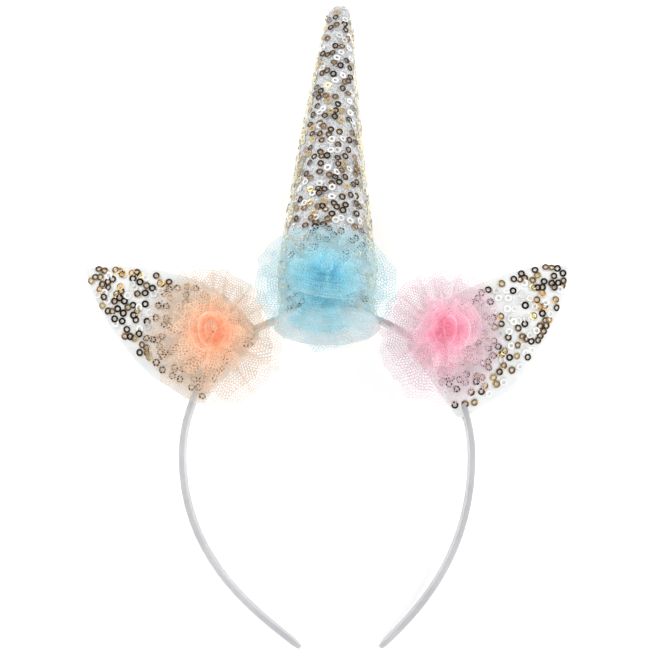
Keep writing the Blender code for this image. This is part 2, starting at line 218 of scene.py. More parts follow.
class Paint:
    """A material's node tree, with short ways to add what these finishes share."""

    def __init__(self, name):
        self.material = bpy.data.materials.new(name)
        self.material.use_nodes = True
        self.nodes = self.material.node_tree.nodes
        self.links = self.material.node_tree.links
        self.shader = self.nodes["Principled BSDF"]

    def set(self, **values):
        for key, value in values.items():
            self.shader.inputs[key.replace("_", " ")].default_value = value
        return self

    def link(self, out, into):
        self.links.new(out, into)

    def coordinates(self, scale=(1.0, 1.0, 1.0)):
        out = self.nodes.new("ShaderNodeTexCoord").outputs["Object"]
        mapping = self.nodes.new("ShaderNodeMapping")
        mapping.inputs["Scale"].default_value = scale
        self.link(out, mapping.inputs["Vector"])
        return mapping.outputs["Vector"]

    def noise(self, where, scale, detail=3.0, roughness=0.55):
        node = self.nodes.new("ShaderNodeTexNoise")
        node.inputs["Scale"].default_value = scale
        node.inputs["Detail"].default_value = detail
        node.inputs["Roughness"].default_value = roughness
        self.link(where, node.inputs["Vector"])
        return node.outputs["Fac"]

    def cells(self, where, scale, feature="F1", out="Distance"):
        node = self.nodes.new("ShaderNodeTexVoronoi")
        node.feature = feature
        node.inputs["Scale"].default_value = scale
        self.link(where, node.inputs["Vector"])
        return node.outputs[out]

    def ramp(self, value, stops):
        node = self.nodes.new("ShaderNodeValToRGB")
        set_stops(node.color_ramp, stops)
        self.link(value, node.inputs["Fac"])
        return node.outputs["Color"]

    def math(self, operation, a, b=None):
        node = self.nodes.new("ShaderNodeMath")
        node.operation = operation
        for socket, value in zip(node.inputs, (a, b)):
            if isinstance(value, (int, float)):
                socket.default_value = value
            elif value is not None:
                self.link(value, socket)
        return node.outputs["Value"]

    def bump(self, height, strength, distance):
        node = self.nodes.new("ShaderNodeBump")
        node.inputs["Strength"].default_value = strength
        node.inputs["Distance"].default_value = distance
        self.link(height, node.inputs["Height"])
        self.link(node.outputs["Normal"], self.shader.inputs["Normal"])


def grey(value):
    return (value, value, value)


def satin_material():
    """White satin ribbon: fine threads across the band, soft patches and a sheen."""
    paint = Paint("satin_ribbon").set(Sheen_Weight=0.25, Sheen_Roughness=0.35)
    where = paint.coordinates()
    threads = paint.noise(paint.coordinates((1.0, 1.0, 6.0)), 2600.0, 2.0)
    soft = paint.noise(where, 55.0, 3.0)
    paint.link(
        paint.ramp(soft, [(0.30, (0.43, 0.43, 0.445)), (0.75, (0.58, 0.58, 0.59))]),
        paint.shader.inputs["Base Color"],
    )
    paint.link(paint.ramp(threads, [(0.2, grey(0.30)), (0.8, grey(0.46))]), paint.shader.inputs["Roughness"])
    paint.bump(paint.math("ADD", threads, soft), 0.35, 0.00006)
    return paint.material


def felt_material():
    paint = Paint("off_white_felt").set(Sheen_Weight=0.4, Sheen_Roughness=0.6)
    where = paint.coordinates()
    fibre = paint.noise(where, 1400.0, 5.0, 0.7)
    patch = paint.noise(where, 120.0, 3.0)
    paint.link(
        paint.ramp(patch, [(0.3, (0.60, 0.61, 0.61)), (0.7, (0.73, 0.74, 0.74))]),
        paint.shader.inputs["Base Color"],
    )
    paint.link(paint.ramp(fibre, [(0.2, grey(0.86)), (0.8, grey(0.99))]), paint.shader.inputs["Roughness"])
    paint.bump(fibre, 0.7, 0.00025)
    return paint.material


def horn_cloth_material():
    """Silver-grey cloth with a fine net over it and glitter points."""
    paint = Paint("silver_cloth")
    where = paint.coordinates()
    glitter = paint.cells(where, 2100.0, out="Color")
    specks = [(0.10, (0.33, 0.335, 0.34)), (0.45, (0.56, 0.57, 0.575)), (0.9, (0.86, 0.865, 0.86))]
    paint.link(paint.ramp(glitter, specks), paint.shader.inputs["Base Color"])
    paint.link(paint.ramp(glitter, [(0.2, grey(0.30)), (0.7, grey(0.62))]), paint.shader.inputs["Roughness"])
    paint.link(paint.ramp(glitter, [(0.62, grey(0.0)), (0.80, grey(0.7))]), paint.shader.inputs["Metallic"])
    net = paint.cells(where, 950.0, "DISTANCE_TO_EDGE")
    paint.bump(paint.ramp(net, [(0.0, grey(1.0)), (0.12, grey(0.0))]), 0.5, 0.0002)
    return paint.material


def ear_cloth_material():
    """Off-white brushed cloth with a fine knit grain."""
    paint = Paint("off_white_cloth").set(Sheen_Weight=0.3, Sheen_Roughness=0.5)
    where = paint.coordinates()
    knit = paint.noise(where, 1900.0, 3.0, 0.6)
    patch = paint.noise(where, 70.0, 3.0)
    paint.link(
        paint.ramp(patch, [(0.3, (0.74, 0.76, 0.75)), (0.7, (0.84, 0.85, 0.83))]),
        paint.shader.inputs["Base Color"],
    )
    paint.link(paint.ramp(knit, [(0.2, grey(0.72)), (0.8, grey(0.92))]), paint.shader.inputs["Roughness"])
    paint.bump(knit, 0.5, 0.00012)
    return paint.material


def sequin_material(name, metallic):
    """Cup sequins. Each one's tone is in its points' colours: its own colour, and on some a painted
    reflection.
    """
    paint = Paint(name).set(Metallic=metallic)
    tone = paint.nodes.new("ShaderNodeAttribute")
    tone.attribute_name = "tone"
    scratch = paint.noise(paint.coordinates(), 900.0, 2.0)
    paint.link(tone.outputs["Color"], paint.shader.inputs["Base Color"])
    paint.link(paint.ramp(scratch, [(0.3, grey(0.14)), (0.7, grey(0.30))]), paint.shader.inputs["Roughness"])
    return paint.material


# Mesh helpers


def add_mesh(name, points, faces, material, smooth=True):
    mesh = bpy.data.meshes.new(name)
    mesh.from_pydata(points.tolist(), [], faces)
    mesh.materials.append(material)
    if smooth:
        mesh.shade_smooth()
    made = bpy.data.objects.new(name, mesh)
    bpy.context.scene.collection.objects.link(made)
    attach(made, "root")
    return made


def grid_faces(rows, columns, closed):
    """Quads over rows of points. closed joins each row's last point to its first."""
    i, j = np.meshgrid(np.arange(rows - 1), np.arange(columns if closed else columns - 1), indexing="ij")
    after = (j + 1) % columns
    row, following = i * columns, (i + 1) * columns
    return np.stack([row + j, row + after, following + after, following + j], -1).reshape(-1, 4)


def normals_of(surface, a, b, step=1e-4):
    """Points and outward normals of a surface given by a function of two arrays."""
    here = surface(a, b)
    along = surface(a + step, b) - surface(a - step, b)
    across = surface(a, b + step) - surface(a, b - step)
    normal = np.cross(along, across)
    return here, normal / np.maximum(np.linalg.norm(normal, axis=1, keepdims=True), 1e-12)


# Horn and ears as surfaces


def horn_surface(along, angle):
    """Points of the horn in its seat's frame. angle 0 is +X and a quarter turn is the front."""
    along = np.clip(along, 0.0, 1.0)
    radius = np.interp(along, HORN_PROFILE[:, 0], HORN_PROFILE[:, 1]) * HORN_RADIUS
    radius = radius - SEQUIN_ROOM * np.minimum(1.0, radius / (4 * SEQUIN_ROOM))
    centre = HORN_BEND * along**2
    up = (HORN_LENGTH - 2 * SEQUIN_ROOM) * along
    return np.stack([centre + radius * np.cos(angle), up, radius * np.sin(angle)], -1)


def ear_surface(ear, along, around):
    """Points of an ear in the head frame. around runs once round a section, 0 at its upper edge."""
    side, perch, long, lean, bow = ear
    along = np.clip(along, 0.0, 1.0)
    wide, thick, square = (np.interp(along, EAR_PROFILE[:, 0], EAR_PROFILE[:, k]) for k in (1, 2, 3))
    cosine, sine = np.cos(around), np.sin(around)
    across = np.sign(cosine) * np.abs(cosine) ** (2 / square) * wide * EAR_WIDTH / 2
    deep = np.sign(sine) * np.abs(sine) ** (2 / square) * thick * (EAR_THICKNESS / 2 - SEQUIN_ROOM)
    hollow = (EAR_ROOT - np.sqrt(EAR_ROOT**2 - across**2)) * (1 - along) ** 2
    out = EAR_ROOT + long * EAR_LENGTH * along - hollow
    up = (lean * along**1.25 + bow * np.sin(math.pi * along)) * EAR_LENGTH + across
    angle = math.radians(perch)
    x = side * (out * math.cos(angle) - up * math.sin(angle))
    y = out * math.sin(angle) + up * math.cos(angle)
    return np.stack([x, y, deep], -1)


# Sequins: a slightly cupped ring, turned from its (radius, height) in millimetres
SEQUIN_SECTION = np.array(
    ((0.78, 0.10), (1.08, 0.07), (1.57, 0.13), (1.57, 0.06), (1.08, 0.00), (0.78, 0.03))
) * 0.001
SEQUIN_SIDES = 12
SEQUIN_TILT = 0.11  # spread of the sequins' lean
SEQUIN_LIFT = (0.00015, 0.00055)  # from the cloth, least and most
SEQUIN_SIZES = (0.94, 1.04)
SEQUIN_SHADES = (0.75, 1.1)
SEQUIN_APART = 0.0030
CLOSE_PAIRS = 0.30  # share of the sequins that may lie closer, and how close as a share of SEQUIN_APART
CLOSE_APART = 0.62
GOLD_TONES = (  # share of the gold sequins, colour
    (0.60, (0.092, 0.047, 0.015)),
    (0.26, (0.30, 0.165, 0.052)),
    (0.14, (0.72, 0.50, 0.20)),
)
# pale: partly pearl-white sequins and partly a painted glare of the lights, in white and not metallic
TONES = {"gold": GOLD_TONES, "pale": ((1.0, (0.95, 0.94, 0.92)),)}
SIDE_GLARE_TONE = (0.78, 0.71, 0.46)  # painted reflection: a paler gold on the sequins that are seen edge-on down the horn's two sides, as if they caught the lights
SIDE_GLARE_FROM, SIDE_GLARE_BLEND = 0.66, 0.20  # upward part of the normal where that painted reflection starts, and over how much


def sequins(name, centres, normals, material, tone_table, side_glare=False):
    """Rings sewn flat on a surface, each with its own small tilt, height and tone. With side_glare, those
    whose normals lie low also get a painted reflection, a paler gold.
    """
    count, ring = len(centres), len(SEQUIN_SECTION) * SEQUIN_SIDES
    turn = np.arange(SEQUIN_SIDES) * 2 * np.pi / SEQUIN_SIDES
    radius, height = SEQUIN_SECTION[:, 0], SEQUIN_SECTION[:, 1]
    shape = np.stack(
        [
            np.outer(np.cos(turn), radius),
            np.outer(np.sin(turn), radius),
            np.outer(np.ones(SEQUIN_SIDES), height),
        ],
        -1,
    ).reshape(-1, 3)
    leaning = normals + rng.normal(0.0, SEQUIN_TILT, (count, 3))
    up = leaning / np.linalg.norm(leaning, axis=1, keepdims=True)
    side = np.cross(up, rng.normal(size=(count, 3)))
    side /= np.linalg.norm(side, axis=1, keepdims=True)
    front = np.cross(up, side)
    lift = rng.uniform(*SEQUIN_LIFT, (count, 1))
    size = rng.uniform(*SEQUIN_SIZES, (count, 1, 1))
    local = shape[None] * size
    points = (
        local[..., 0:1] * side[:, None]
        + local[..., 1:2] * front[:, None]
        + local[..., 2:3] * up[:, None]
        + (centres + normals * lift)[:, None]
    ).reshape(-1, 3)
    one = grid_faces(SEQUIN_SIDES + 1, len(SEQUIN_SECTION), True) % ring
    faces = (one[None] + (np.arange(count) * ring)[:, None, None]).reshape(-1, 4)
    made = add_mesh(name, points, faces.tolist(), material, smooth=False)
    pick = np.searchsorted(np.cumsum([share for share, _ in tone_table]), rng.uniform(0, 0.999, count))
    tones = np.array([(*color, 1.0) for _, color in tone_table])[pick]
    tones[:, :3] *= rng.uniform(*SEQUIN_SHADES, (count, 1))
    if side_glare:
        # painted reflection: sequins whose normals lie low are blended towards a paler gold
        glare_share = np.clip((SIDE_GLARE_FROM - normals[:, 2:]) / SIDE_GLARE_BLEND, 0.0, 1.0)
        tones[:, :3] += (np.array(SIDE_GLARE_TONE) - tones[:, :3]) * glare_share
    layer = made.data.color_attributes.new("tone", "FLOAT_COLOR", "POINT")
    layer.data.foreach_set("color", np.repeat(tones, ring, axis=0).astype(np.float32).ravel())
    return made


def scattered(surface, draw, wanted, world):
    """Spots on a surface at least SEQUIN_APART from each other, with now and then a closer pair."""
    spots, normals = np.empty((0, 3)), np.empty((0, 3))
    for _ in range(40):
        a, b = draw(wanted)
        points, outward = normals_of(surface, a, b)
        points = in_frame(world, points)
        outward = outward @ np.array(world)[:3, :3].T
        for point, normal in zip(points, outward):
            least = SEQUIN_APART * (CLOSE_APART if rng.random() < CLOSE_PAIRS else 1.0)
            if len(spots) == 0 or np.min(np.sum((spots - point) ** 2, axis=1)) > least**2:
                spots, normals = np.vstack([spots, point]), np.vstack([normals, normal])
            if len(spots) >= wanted:
                return spots, normals
    return spots, normals


# Band, felt and horn


HORN_WAVES = (  # the cloth's unevenness: amount in millimetres, times along, times round, phase
    (0.16, 31, 3, 0.4), (0.14, 47, -4, 1.7), (0.12, 18, 5, 2.9), (0.10, 75, 7, 0.9), (0.08, 9, 9, 4.0),
)
HORN_GATHERS = 26  # small gathers round the horn's sewn edge, and their height in millimetres
GATHER_HEIGHT = 0.22
HORN_SEQUINS = 920
HORN_PEARL_AND_GLARE = 0.20  # share of pale sequins, partly pearl-white and partly a painted glare of the lights
HORN_BEYOND = 0.28  # how far past the tip the horn's sides would meet, as a share of its length
SEQUIN_RADIUS = 0.0017  # with its largest size
SEQUIN_TOP = 0.0008  # the most that a sequin stands off the cloth
FLOOR_ROOM = 0.0006
EAR_WAVES = ((0.14, 29, 2, 0.3), (0.12, 43, -3, 2.1), (0.10, 61, 5, 1.2))
EAR_UNEVEN = 0.03
EAR_SEQUINS = 178
PALE_SPOT, PALE_SPREAD = 0.62, 0.013  # middle of an ear's patch of pale sequins, partly pearl-white and partly painted glare, a share of its length, and its spread
PALE_LEAST, PALE_MORE = 0.08, 0.55  # share of pale sequins, partly pearl-white and partly painted glare, away from the patch, and how much more in it


def band_cutter():
    """The band itself, swollen by the gap that its sleeves keep."""
    band = bpy.data.objects["band"]
    cutter = bpy.data.objects.new("band_clearance", band.data.copy())
    bpy.context.scene.collection.objects.link(cutter)
    swell = cutter.modifiers.new("swell", "DISPLACE")
    swell.strength = GAP
    swell.mid_level = 0.0
    return cutter


def apply_modifiers(made):
    graph = bpy.context.evaluated_depsgraph_get()
    mesh = bpy.data.meshes.new_from_object(made.evaluated_get(graph))
    made.modifiers.clear()
    old, made.data = made.data, mesh
    bpy.data.meshes.remove(old)


def cut_channel(made, cutter):
    modifier = made.modifiers.new("channel", "BOOLEAN")
    modifier.operation = "DIFFERENCE"
    modifier.solver = "EXACT"
    modifier.object = cutter
    apply_modifiers(made)


def waves(a, b, rows):
    """A sum of sines: rows of (amount, times along a, times along b, phase)."""
    return sum(amount * np.sin(m * a + n * b + phase) for amount, m, n, phase in rows)


def closed_skin(points, rows, columns):
    faces = grid_faces(rows, columns, True).tolist()
    faces.append(list(range(columns))[::-1])
    faces.append(list(range((rows - 1) * columns, rows * columns)))
    return faces


def add_horn(cutter, finishes):
    rows, columns = 190, 112
    along = np.concatenate([np.linspace(0, 0.94, rows - 24, endpoint=False), np.linspace(0.94, 1.0, 24)])
    a, b = np.meshgrid(along, np.arange(columns) * 2 * np.pi / columns, indexing="ij")
    a, b = a.ravel(), b.ravel()
    points, outward = normals_of(horn_surface, a, b)
    soft = waves(a, b, HORN_WAVES)
    gathers = GATHER_HEIGHT * np.sin(HORN_GATHERS * b + 0.6 * np.sin(3 * b)) * np.exp(-a / 0.03)
    points = points + outward * ((soft + gathers - GATHER_HEIGHT) * 0.001)[:, None]
    points = in_frame(SEAT, points)
    points[:, 2] = np.maximum(points[:, 2], 0.0002)
    horn = add_mesh("horn_cloth", points, closed_skin(points, rows, columns), horn_cloth_material())
    cut_channel(horn, cutter)
    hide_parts("horn")

    def draw(count):
        share = rng.uniform(0.0, 1.0, count)
        apex = 1 + HORN_BEYOND
        along = 0.985 * (apex - np.sqrt(apex**2 - share * (apex**2 - HORN_BEYOND**2)))
        return along, rng.uniform(0, 2 * np.pi, count)

    spots, normals = scattered(horn_surface, draw, HORN_SEQUINS, SEAT)
    across = np.sqrt(1 - normals[:, 2] ** 2)
    lowest = spots[:, 2] + SEQUIN_TOP * np.minimum(normals[:, 2], 0) - SEQUIN_RADIUS * across
    clear = lowest > FLOOR_ROOM
    spots, normals = spots[clear], normals[clear]
    # pale sequins: partly pearl-white, partly painted glare
    pale = rng.random(len(spots)) < HORN_PEARL_AND_GLARE
    for kind, chosen in (("gold", ~pale), ("pale", pale)):
        label = f"horn_{kind}_sequins"
        made = sequins(label, spots[chosen], normals[chosen], finishes[kind], TONES[kind], side_glare=True)


def add_ears(cutter, finishes):
    cloth = ear_cloth_material()
    for name, ear in EARS.items():
        rows, columns = 96, 96
        around = (np.arange(columns) + 0.5) * 2 * np.pi / columns
        a, b = (part.ravel() for part in np.meshgrid(np.linspace(0, 1, rows), around, indexing="ij"))
        surface = lambda x, y, ear=ear: ear_surface(ear, x, y)
        points = surface(a, b)
        points[:, 2] *= 1 + EAR_UNEVEN * waves(a, b, EAR_WAVES)
        points = in_frame(HEAD, points)
        made = add_mesh(f"{name}_ear_cloth", points, closed_skin(points, rows, columns), cloth)
        cut_channel(made, cutter)
        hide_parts(f"{name}_ear")

        def draw(count):
            along = 0.955 * rng.uniform(0.0, 1.0, count) ** 0.85
            across = rng.uniform(-0.84, 0.84, count)
            square = np.interp(along, EAR_PROFILE[:, 0], EAR_PROFILE[:, 3])
            return along, np.arccos(np.sign(across) * np.abs(across) ** (square / 2))

        spots, normals = scattered(surface, draw, EAR_SEQUINS, HEAD)
        normals = np.where(normals[:, 2:] > 0, normals, -normals)
        middle = in_frame(HEAD, surface(np.array([PALE_SPOT]), np.array([np.pi / 2])))
        near = np.exp(-np.sum((spots - middle) ** 2, axis=1) / PALE_SPREAD**2)
        # pale sequins, more of them in the patch: partly pearl-white, partly painted glare
        pale = rng.random(len(spots)) < PALE_LEAST + PALE_MORE * near
        for kind, chosen in (("gold", ~pale), ("pale", pale)):
            label = f"{name}_ear_{kind}_sequins"
            made = sequins(label, spots[chosen], normals[chosen], finishes[kind], TONES[kind])


# Rosettes

NET_PITCH = 0.00125  # from one mesh of the net to the next
THREAD = 0.00023  # width of its threads
VEIL_ALPHA = 0.02
# opacity of the fold strips, which carry a painted highlight
FOLD_ALPHA = 0.60
FOLD_WIDTH = 0.0007  # width over which the net lies double along a fold
CROWN_RIM = 0.8  # rings narrower than this share of the rosette's radius make its crown
LOOP_PLEATS = 22  # pleats across a loop, for each rosette's radius of its half width
PLEAT_REACH, PLEAT_HEIGHT = 0.03, 0.022  # of those pleats, along the loop and up
VEIL_ROW, VEIL_COLUMN = 0.0009, 0.0016  # spacing of a veil's points along its strip and across it
RING_FADE, LOOP_FADE = 0.5, 0.64  # share of the depth of colour lost at a ring's rim and at a loop's fold
ROLL_DEPTH, ROLL_FADE = 0.85, 0.5  # depth of colour at a roll's foot, and what is lost at its upper edge
ROLL_FOOT = 0.62  # size of a roll's foot, as a share of its top
ROLL_WIND = 0.22  # how much smaller a roll is where it ends

# Rings of gathered tulle, from the back. rim: share of the rosette's radius. hub: share of ROSETTE_HUB. root
# and lift: height at the hub and at the rim, as shares of ROSETTE_HEIGHT. pleats: folds round it. overlap:
# how far they lie over each other. ruffle: height of the waves at the rim, as a share of ROSETTE_HEIGHT.
# full: length of the strip, as a multiple of its rim. turn: degrees that its outline is turned by. ragged:
# how far the rim goes in and out. depth: how far its colour goes towards the heart's.
RINGS = (
    {"rim": 1.00, "hub": 0.80, "root": 0.12, "lift": 0.24, "pleats": 17, "overlap": 0.9, "ruffle": 0.05,
     "full": 1.15, "turn": 0.0, "ragged": 0.030, "depth": 0.05},
    {"rim": 0.86, "hub": 0.65, "root": 0.19, "lift": 0.36, "pleats": 13, "overlap": 1.1, "ruffle": 0.07,
     "full": 1.20, "turn": 14.0, "ragged": 0.060, "depth": 0.15},
    {"rim": 0.62, "hub": 0.45, "root": 0.26, "lift": 0.48, "pleats": 11, "overlap": 1.5, "ruffle": 0.09,
     "full": 1.40, "turn": 5.0, "ragged": 0.120, "depth": 0.46},
    {"rim": 0.50, "hub": 0.15, "root": 0.32, "lift": 0.66, "pleats": 8, "overlap": 1.7, "ruffle": 0.12,
     "full": 1.50, "turn": 23.0, "ragged": 0.150, "depth": 0.74},
    {"rim": 0.36, "hub": 0.02, "root": 0.30, "lift": 0.74, "pleats": 6, "overlap": 1.6, "ruffle": 0.12,
     "full": 1.50, "turn": 0.0, "ragged": 0.180, "depth": 0.90},
)

# Loops of tulle folded over at their far end, and rolls wound round the heart. toward: direction of a loop
# in degrees. start and reach: where it starts and how far its fold reaches, as shares of the rosette's
# radius. wide: its half width at the fold. open: half the height between its two sides. base and lift:
# height of its root, and how much higher its fold is. arch: how far the fold curves back at its sides.
# across and up: a roll's half axes at the top. turns: how often it is wound. tall: its height. from: where
# it starts, in degrees. Their lengths and heights are shares of the rosette's radius.
# heart, middle and rim: colours from the middle of the rosette outwards. fold: a painted highlight, the paler
# colour along a fold. deep: how far a loop's root goes towards the heart's colour. crown: what the inner
# rings are scaled by. corners: how far the outline goes from round to straight-edged. seed: of the rings'
# folds.
TULLE = {
    "peach": {
        "heart": (1.00, 0.50, 0.31), "middle": (0.95, 0.68, 0.49), "rim": (0.62, 0.49, 0.38),
        "fold": (1.00, 0.86, 0.76), "deep": 0.70, "crown": 1.00, "corners": 0.35, "seed": 3,
        "loops": (
            {"toward": 84.0, "start": -0.17, "reach": 0.15, "wide": 0.11, "open": 0.030, "base": 0.34,
             "lift": 0.04, "arch": 0.4},
            {"toward": 262.0, "start": 0.16, "reach": 0.86, "wide": 0.10, "open": 0.020, "base": 0.17,
             "lift": -0.06, "arch": 0.1},
            {"toward": 236.0, "start": 0.16, "reach": 0.70, "wide": 0.13, "open": 0.020, "base": 0.19,
             "lift": -0.05, "arch": 0.1},
            {"toward": 8.0, "start": 0.16, "reach": 0.60, "wide": 0.09, "open": 0.020, "base": 0.19,
             "lift": -0.04, "arch": 0.1},
            {"toward": 172.0, "start": 0.12, "reach": 0.38, "wide": 0.26, "open": 0.050, "base": 0.24,
             "lift": 0.10, "arch": 0.3},
        ),
        "rolls": (
            {"across": 0.19, "up": 0.28, "turns": 1.15, "base": 0.16, "tall": 0.36, "from": 250.0},
            {"across": 0.26, "up": 0.33, "turns": 0.62, "base": 0.16, "tall": 0.28, "from": 290.0},
            {"across": 0.36, "up": 0.38, "turns": 0.34, "base": 0.16, "tall": 0.20, "from": 130.0},
            {"across": 0.32, "up": 0.40, "turns": 0.30, "base": 0.16, "tall": 0.22, "from": 322.0},
        ),
    },
    "blue": {
        "heart": (0.07, 0.56, 0.78), "middle": (0.42, 0.76, 0.84), "rim": (0.36, 0.57, 0.62),
        "fold": (0.74, 0.93, 0.97), "deep": 0.60, "crown": 0.86, "corners": 0.30, "seed": 8,
        "loops": (
            {"toward": 338.0, "start": 0.00, "reach": 0.52, "wide": 0.34, "open": 0.040, "base": 0.25,
             "lift": 0.10, "arch": 0.60},
            {"toward": 258.0, "start": -0.10, "reach": 0.38, "wide": 0.42, "open": 0.030, "base": 0.31,
             "lift": 0.05, "arch": 0.08},
            {"toward": 262.0, "start": 0.30, "reach": 0.86, "wide": 0.44, "open": 0.025, "base": 0.18,
             "lift": 0.02, "arch": 0.30},
            {"toward": 178.0, "start": -0.05, "reach": 0.56, "wide": 0.30, "open": 0.030, "base": 0.22,
             "lift": 0.10, "arch": 0.25},
            {"toward": 72.0, "start": -0.02, "reach": 0.26, "wide": 0.10, "open": 0.030, "base": 0.29,
             "lift": 0.10, "arch": 0.8},
        ),
        "rolls": (),
    },
    "pink": {
        "heart": (1.00, 0.36, 0.52), "middle": (0.94, 0.66, 0.74), "rim": (0.66, 0.51, 0.56),
        "fold": (1.00, 0.84, 0.90), "deep": 0.70, "crown": 1.00, "corners": 1.0, "seed": 14,
        "loops": (
            {"toward": 68.0, "start": -0.10, "reach": 0.46, "wide": 0.11, "open": 0.080, "base": 0.30,
             "lift": 0.10, "arch": 0.1},
            {"toward": 284.0, "start": -0.08, "reach": 0.50, "wide": 0.13, "open": 0.070, "base": 0.28,
             "lift": 0.08, "arch": 0.1},
            {"toward": 232.0, "start": 0.02, "reach": 0.66, "wide": 0.26, "open": 0.050, "base": 0.24,
             "lift": 0.04, "arch": 0.1},
            {"toward": 268.0, "start": 0.10, "reach": 0.70, "wide": 0.16, "open": 0.030, "base": 0.22,
             "lift": -0.02, "arch": 0.1},
            {"toward": 130.0, "start": 0.04, "reach": 0.44, "wide": 0.28, "open": 0.060, "base": 0.24,
             "lift": 0.12, "arch": 0.2},
            {"toward": 20.0, "start": 0.08, "reach": 0.50, "wide": 0.30, "open": 0.050, "base": 0.24,
             "lift": 0.10, "arch": 0.2},
        ),
        "rolls": (
            {"across": 0.10, "up": 0.24, "turns": 1.2, "base": 0.18, "tall": 0.34, "from": 100.0},
            {"across": 0.30, "up": 0.34, "turns": 0.36, "base": 0.16, "tall": 0.26, "from": 120.0},
            {"across": 0.34, "up": 0.38, "turns": 0.34, "base": 0.16, "tall": 0.24, "from": 300.0},
        ),
    },
}


def outline_at(name, angle, corners):
    """The rosette's outline at angles. Between its table's entries the edge goes from round to straight."""
    table = np.array(REACH[name])
    place = (angle % (2 * np.pi)) / (2 * np.pi) * len(table)
    i = np.floor(place).astype(int)
    share = place - i
    here, after = table[i % len(table)], table[(i + 1) % len(table)]
    smooth = (1 - np.cos(np.pi * share)) / 2
    round_edge = here * (1 - smooth) + after * smooth
    step = 2 * np.pi / len(table)
    straight = here * after * np.sin(step)
    straight = straight / (here * np.sin(share * step) + after * np.sin((1 - share) * step))
    return round_edge * (1 - corners) + straight * corners


def ring_surface(name, ring, seed):
    """One gathered ring: s runs round it and t from its hub to its rim. Also its strip's width and length."""
    own = np.random.default_rng(seed)
    pleats = ring["pleats"]
    counts = (pleats, round(pleats * 0.57), round(pleats * 1.6))
    phases = own.uniform(0, 2 * np.pi, (3, 3))
    amounts = ((0.72, 0.45, 0.30), (0.60, 0.50, 0.40), (0.65, 0.50, 0.30))
    crown = TULLE[name]["crown"] if ring["rim"] < CROWN_RIM else 1.0
    hub, full = ROSETTE_HUB * ring["hub"] * crown, ROSETTE_RADIUS * ring["rim"] * crown
    turn = math.radians(ring["turn"])
    corners = TULLE[name]["corners"]

    def fold(angle, k):
        return sum(amounts[k][i] * np.sin(counts[i] * angle + phases[k, i]) for i in range(3))

    def surface(s, t):
        angle = 2 * np.pi * s
        turned = angle + ring["overlap"] * (1.15 - 0.7 * t) * fold(angle, 0) / pleats
        rim = full * outline_at(name, turned + turn, corners) * (1 + ring["ragged"] * fold(angle, 1))
        radius = hub + (rim - hub) * t
        rise = ring["root"] + (ring["lift"] - ring["root"]) * t**1.3
        height = ROSETTE_HEIGHT * (rise + ring["ruffle"] * (0.15 + t) * fold(angle, 2))
        return np.stack([radius * np.cos(turned), radius * np.sin(turned), height], -1)

    return surface, (full - hub, 2 * np.pi * full * ring["full"]), True


def loop_surface(loop):
    """A strip laid out from the heart, folded over and laid back: s is its width and t its length."""
    toward = math.radians(loop["toward"])
    out = np.array((math.cos(toward), math.sin(toward), 0.0))
    side = np.array((-out[1], out[0], 0.0))
    radius = ROSETTE_RADIUS

    def surface(s, t):
        across, go = 2 * s - 1, np.sin(np.pi * t)
        pleat = np.sin(2 * np.pi * LOOP_PLEATS * loop["wide"] * across + loop["toward"])
        curve = 1 - loop["arch"] * across**2 + PLEAT_REACH * pleat
        far = loop["start"] + (loop["reach"] - loop["start"]) * go * curve
        wide = loop["wide"] * (0.30 + 0.70 * go) * across
        bulge = 1 - 0.5 * across**2
        height = loop["base"] + loop["lift"] * go - loop["open"] * np.cos(np.pi * t) * bulge
        height = height + PLEAT_HEIGHT * pleat
        return radius * (
            far[:, None] * out + wide[:, None] * side + height[:, None] * np.array((0.0, 0.0, 1.0))
        )

    length = 2.1 * radius * (loop["reach"] - loop["start"])
    return surface, (length, 2 * radius * loop["wide"]), False


def roll_surface(roll):
    """A strip wound round the heart: s runs along it and t from its foot to its upper edge."""
    start = math.radians(roll["from"])

    def surface(s, t):
        angle = start + 2 * np.pi * roll["turns"] * s
        size = (ROLL_FOOT + (1 - ROLL_FOOT) * t**0.8) * (1.0 - ROLL_WIND * s)
        size = size * (1 + 0.05 * np.sin(3 * angle + 1.0))
        height = roll["base"] + roll["tall"] * t * (1 + 0.08 * np.sin(2 * angle))
        return ROSETTE_RADIUS * np.stack(
            [roll["across"] * size * np.cos(angle), roll["up"] * size * np.sin(angle), height], -1
        )

    length = 2 * np.pi * ROSETTE_RADIUS * (roll["across"] + roll["up"]) / 2 * roll["turns"]
    return surface, (ROSETTE_RADIUS * roll["tall"], length), False


